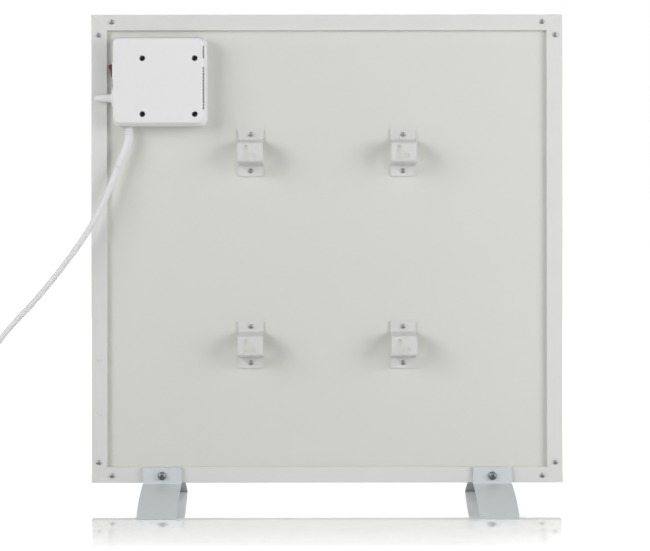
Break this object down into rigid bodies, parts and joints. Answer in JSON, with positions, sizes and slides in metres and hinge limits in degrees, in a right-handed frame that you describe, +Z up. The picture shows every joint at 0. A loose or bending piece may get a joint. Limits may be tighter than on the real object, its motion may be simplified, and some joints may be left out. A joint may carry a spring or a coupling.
{
  "type": "infrared panel heater",
  "caption": "Slim square radiant panel heater on arched sheet feet, with a rear control box, keyhole wall hangers, a rocker switch and a mains cord.",
  "frame": {"origin": "on the floor, under the middle of the panel", "axes": "+X along the panel's width, +Y towards the radiant front, +Z up"},
  "size_m": [0.8558, 0.221, 0.626],
  "materials": {
    "frame_paint": "satin",
    "back_sheet": "satin",
    "radiant_coating": "matte",
    "strap_paint": "satin",
    "zinc": "satin",
    "dark_steel": "satin",
    "box_plastic": "satin",
    "red_plastic": "gloss",
    "black_plastic": "satin",
    "white_rubber": "satin",
    "aluminium": "satin",
    "insulation": "matte",
    "heating_film": "satin",
    "pin_metal": "polished"
  },
  "bodies": {
    "heater": {"back_sheet": "back_sheet", "box_base": "box_plastic", "box_cover": "box_plastic", "cord_coil": "white_rubber", "cord_gland": "white_rubber", "cord_lead": "white_rubber", "corner_key_lower_left": "aluminium", "corner_key_lower_right": "aluminium", "corner_key_upper_left": "aluminium", "corner_key_upper_right": "aluminium", "corner_screw_lower_left_1": "zinc", "corner_screw_lower_left_2": "zinc", "corner_screw_lower_right_1": "zinc", "corner_screw_lower_right_2": "zinc", "corner_screw_upper_left_1": "zinc", "corner_screw_upper_left_2": "zinc", "corner_screw_upper_right_1": "zinc", "corner_screw_upper_right_2": "zinc", "cover_screw_lower_left": "dark_steel", "cover_screw_lower_right": "dark_steel", "cover_screw_upper_left": "dark_steel", "cover_screw_upper_right": "dark_steel", "foot_bolt_left": "dark_steel", "foot_bolt_right": "dark_steel", "foot_front_leaf_left": "zinc", "foot_front_leaf_right": "zinc", "foot_rear_leaf_left": "zinc", "foot_rear_leaf_right": "zinc", "hanger_lower_left": "strap_paint", "hanger_lower_right": "strap_paint", "hanger_screw_lower_left_bottom": "zinc", "hanger_screw_lower_left_top": "zinc", "hanger_screw_lower_right_bottom": "zinc", "hanger_screw_lower_right_top": "zinc", "hanger_screw_upper_left_bottom": "zinc", "hanger_screw_upper_left_top": "zinc", "hanger_screw_upper_right_bottom": "zinc", "hanger_screw_upper_right_top": "zinc", "hanger_upper_left": "strap_paint", "hanger_upper_right": "strap_paint", "heating_film": "heating_film", "insulation_board": "insulation", "mounting_plate": "aluminium", "plug_body": "white_rubber", "plug_pin_left": "pin_metal", "plug_pin_right": "pin_metal", "radiant_panel": "radiant_coating", "rail_bottom": "frame_paint", "rail_left": "frame_paint", "rail_plug_1": "box_plastic", "rail_plug_2": "box_plastic", "rail_right": "frame_paint", "rail_top": "frame_paint", "sensor_plate": "box_plastic", "sensor_sleeve": "box_plastic", "switch_body": "box_plastic", "terminal_block": "white_rubber", "thermal_cutout": "black_plastic"},
    "rocker": {"switch_rocker": "red_plastic"}
  },
  "joints": [
    {"name": "rocker_tilt", "type": "hinge", "parent": "heater", "child": "rocker", "pos_m": [-0.2711, -0.019, 0.5538], "axis": [0, 1, 0], "range_deg": [0, 32]}
  ]
}
